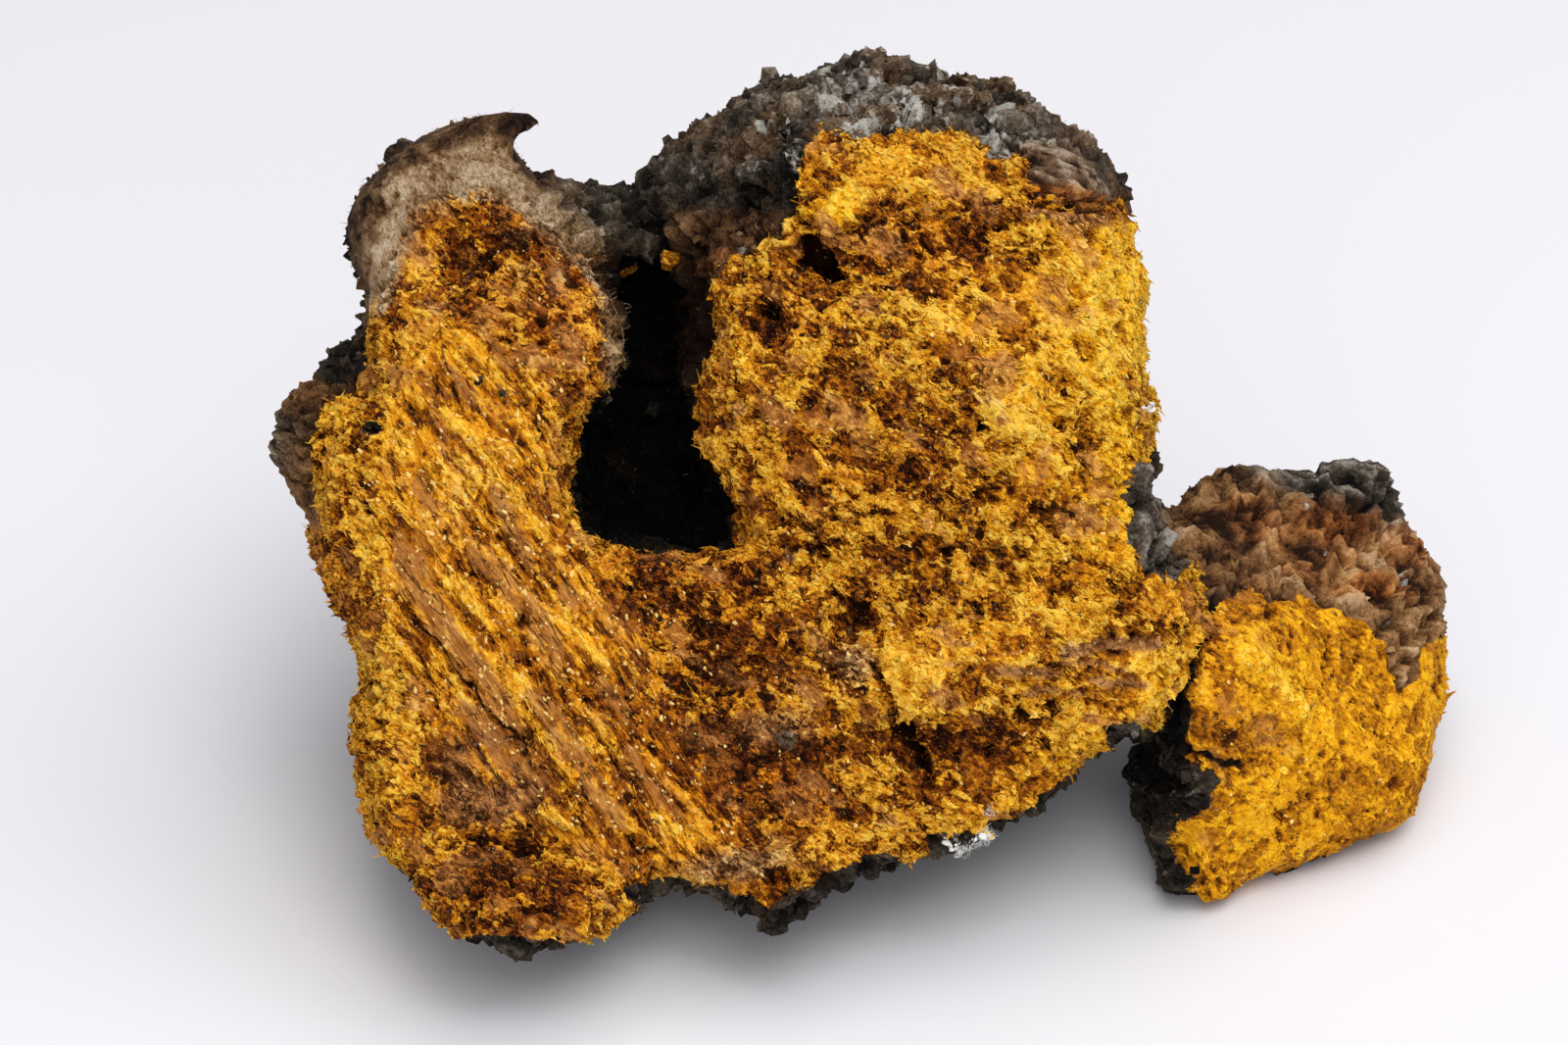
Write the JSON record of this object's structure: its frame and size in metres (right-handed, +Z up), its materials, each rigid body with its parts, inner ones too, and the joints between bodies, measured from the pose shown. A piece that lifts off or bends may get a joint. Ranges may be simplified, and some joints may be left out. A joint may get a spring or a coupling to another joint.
{
  "type": "chaga mushroom",
  "caption": "Broken chunk of chaga fungus: golden crumbly fracture in front, a deep hollow between its arm and its dome, a lobe at one side and cracked black crust all round.",
  "frame": {"origin": "on the surface that the chunk lies on, under the middle of its box", "axes": "+X along the longest side, from the arm to the side lobe; -Y towards the side that the golden fracture looks to; +Z up"},
  "size_m": [0.0926, 0.0736, 0.0566],
  "materials": {
    "chaga": "matt, crumbly and corky golden flesh inside a brittle black crust"
  },
  "bodies": {
    "root": {"chaga": "chaga"}
  },
  "joints": []
}
